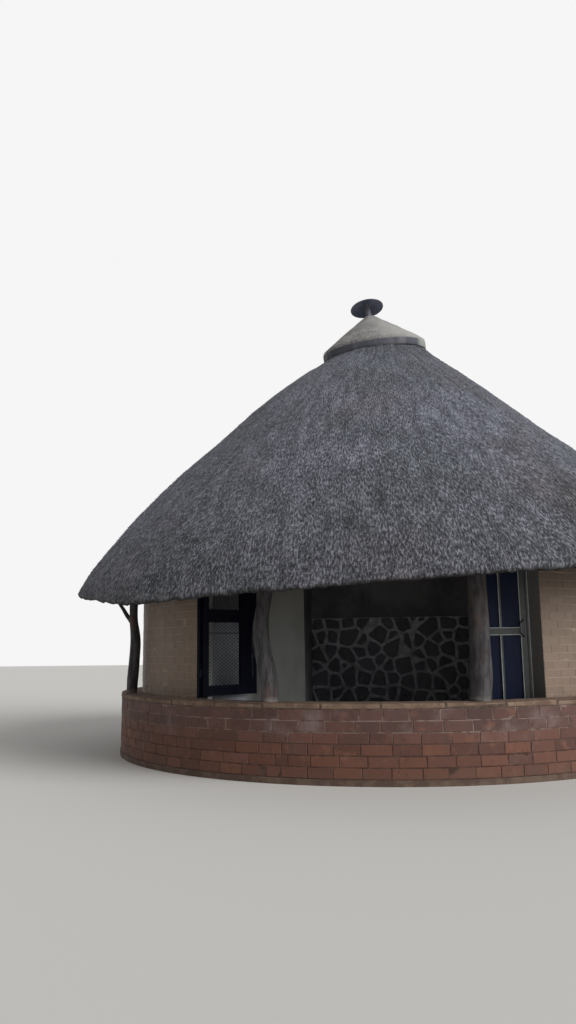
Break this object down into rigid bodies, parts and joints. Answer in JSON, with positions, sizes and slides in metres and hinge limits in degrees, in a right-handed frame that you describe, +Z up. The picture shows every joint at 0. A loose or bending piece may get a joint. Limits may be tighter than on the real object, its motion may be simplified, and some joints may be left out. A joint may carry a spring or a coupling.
{
  "type": "thatched round hut with veranda recess",
  "caption": "Round thatched hut on a brick plinth, with a recessed veranda, tree posts, a mesh gate and a glazed door, used as a dwelling.",
  "frame": {"origin": "centre of the round walls on the ground, on the underside of the plinth", "axes": "+Z up, the veranda faces -Y, +X to the right seen from the front"},
  "size_m": [8.4211, 8.5531, 6.4476],
  "materials": {
    "brick": "red-brown facing brick with weathered mortar joints",
    "coping": "tan brick-on-edge coping smeared with mortar",
    "concrete": "rough grey concrete",
    "painted_wall": "cream-tan masonry paint over brick",
    "pale_plaster": "pale grey-white plaster",
    "dark_plaster": "dull brown-grey plaster",
    "stone": "dark crazy-paved fieldstone in grey mortar",
    "thatch": "weathered grey thatch",
    "cement": "weathered beige-grey cement",
    "timber": "weathered grey barked trunks",
    "pole": "aged brown roof poles",
    "navy_metal": "navy blue gloss paint on steel",
    "mesh_metal": "navy painted expanded metal",
    "door_metal": "dull cream-grey paint on steel",
    "black_metal": "black wrought handle",
    "glass": "dark glass",
    "slate_metal": "dark grey painted sheet metal",
    "bare_steel": "bare hinge steel"
  },
  "bodies": {
    "hut": {"footing_ring": "concrete", "plinth_floor": "concrete", "low_wall_front": "brick", "low_wall_right": "brick", "low_wall_back": "brick", "low_wall_left": "brick", "coping_front": "coping", "coping_right": "coping", "coping_back": "coping", "coping_left": "coping", "room_wall_right": "painted_wall", "room_wall_back_right": "painted_wall", "room_wall_back": "painted_wall", "room_wall_back_left": "painted_wall", "room_wall_left": "painted_wall", "pale_wall": "pale_plaster", "return_wall_left": "stone", "return_wall_right": "dark_plaster", "recess_back_wall": "dark_plaster", "stone_dado": "stone", "door_head_wall": "painted_wall", "door_frame": "door_metal", "door_hinge_pins": "bare_steel", "gate_jamb": "navy_metal", "post_left": "timber", "post_middle": "timber", "post_right": "timber", "post_far_right": "timber", "veranda_beam": "pole", "wall_plate": "pole", "rafters": "pole", "crown_block": "pole", "thatch": "thatch", "roof_cap": "cement", "cowl_stub": "cement", "rain_cowl": "slate_metal"},
    "gate": {"gate_frame": "navy_metal", "gate_bolt": "bare_steel", "gate_mesh": "mesh_metal"},
    "door": {"door_leaf": "door_metal", "door_panes": "glass", "door_handle": "black_metal", "door_knuckles": "bare_steel"}
  },
  "joints": [
    {"name": "gate_hinge", "type": "hinge", "parent": "hut", "child": "gate", "pos_m": [-1.9903, -2.56962, 1.2], "axis": [0, 0, 1], "range_deg": [-82, 3]},
    {"name": "door_hinge", "type": "hinge", "parent": "hut", "child": "door", "pos_m": [1.11597, -2.581, 1.2], "axis": [0, 0, 1], "range_deg": [0, 82]}
  ]
}
